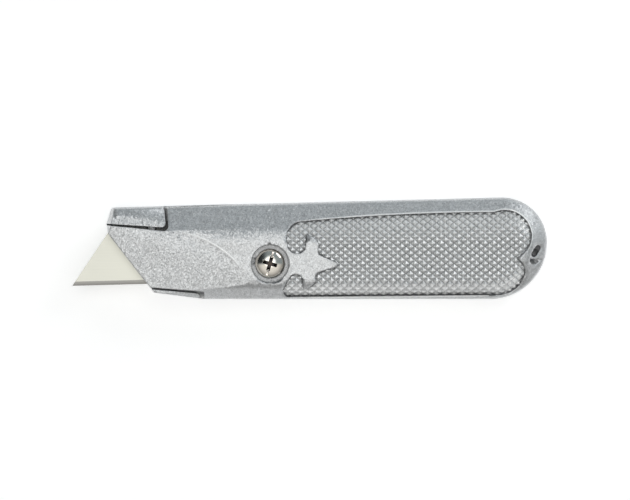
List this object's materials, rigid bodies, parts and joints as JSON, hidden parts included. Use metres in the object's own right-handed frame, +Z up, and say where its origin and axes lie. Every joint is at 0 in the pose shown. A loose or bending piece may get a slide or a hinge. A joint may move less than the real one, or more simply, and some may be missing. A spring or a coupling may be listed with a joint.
{
  "type": "utility knife",
  "caption": "Fixed-blade utility knife: two die-cast half shells clamp a trapezoid blade with one screw; the cover lifts off over a store of spare blades.",
  "frame": {"origin": "on the clamp screw's axis, in the plane the rear shell's side rests on", "axes": "+X from the blade's tip to the tail, +Y from the cutting edge to the spine, +Z up from the rear shell's side to the front shell's"},
  "size_m": [0.1469, 0.0315, 0.017],
  "materials": {
    "shell_paint": "silver metallic paint with a fine sparkle",
    "screw_plate": "nickel plated, satin",
    "blade_steel": "satin ground"
  },
  "bodies": {
    "base": {"rear_shell": "shell_paint"},
    "cover": {"front_shell": "shell_paint"},
    "screw": {"clamp_screw": "screw_plate"},
    "fitted_blade": {"fitted_blade": "blade_steel"},
    "spare_blade_1": {"spare_blade_1": "blade_steel"},
    "spare_blade_2": {"spare_blade_2": "blade_steel"},
    "spare_blade_3": {"spare_blade_3": "blade_steel"},
    "spare_blade_4": {"spare_blade_4": "blade_steel"},
    "spare_blade_5": {"spare_blade_5": "blade_steel"}
  },
  "joints": [
    {"name": "cover_lift", "type": "slide", "parent": "base", "child": "cover", "axis": [0, 0, 1], "range_m": [0, 0.0159]},
    {"name": "screw_turn", "type": "hinge", "parent": "cover", "child": "screw", "pos_m": [0, 0, 0.0142], "axis": [0, 0, 1], "range_deg": [0, 5405]},
    {"name": "blade_tilt", "type": "hinge", "parent": "base", "child": "fitted_blade", "pos_m": [-0.03181, 0.01288, 0.00815], "axis": [-0.9997, -0.0262, 0], "range_deg": [0, 25.2]},
    {"name": "spare_lift_1", "type": "slide", "parent": "base", "child": "spare_blade_1", "axis": [0, 0, 1], "range_m": [0, 0.0014]},
    {"name": "spare_lift_2", "type": "slide", "parent": "base", "child": "spare_blade_2", "axis": [0, 0, 1], "range_m": [0, 0.0027]},
    {"name": "spare_lift_3", "type": "slide", "parent": "base", "child": "spare_blade_3", "axis": [0, 0, 1], "range_m": [0, 0.004]},
    {"name": "spare_lift_4", "type": "slide", "parent": "base", "child": "spare_blade_4", "axis": [0, 0, 1], "range_m": [0, 0.0053]},
    {"name": "spare_lift_5", "type": "slide", "parent": "base", "child": "spare_blade_5", "axis": [0, 0, 1], "range_m": [0, 0.0066]}
  ],
  "couplings": [
    {"joint": "screw_turn", "follows": "cover_lift", "rad_per_m": 5927.5},
    {"joint": "blade_tilt", "follows": "cover_lift", "rad_per_m": 27.442},
    {"joint": "spare_lift_1", "follows": "cover_lift", "ratio": 0.081761},
    {"joint": "spare_lift_2", "follows": "cover_lift", "ratio": 0.16352},
    {"joint": "spare_lift_3", "follows": "cover_lift", "ratio": 0.24528},
    {"joint": "spare_lift_4", "follows": "cover_lift", "ratio": 0.32704},
    {"joint": "spare_lift_5", "follows": "cover_lift", "ratio": 0.4088}
  ]
}
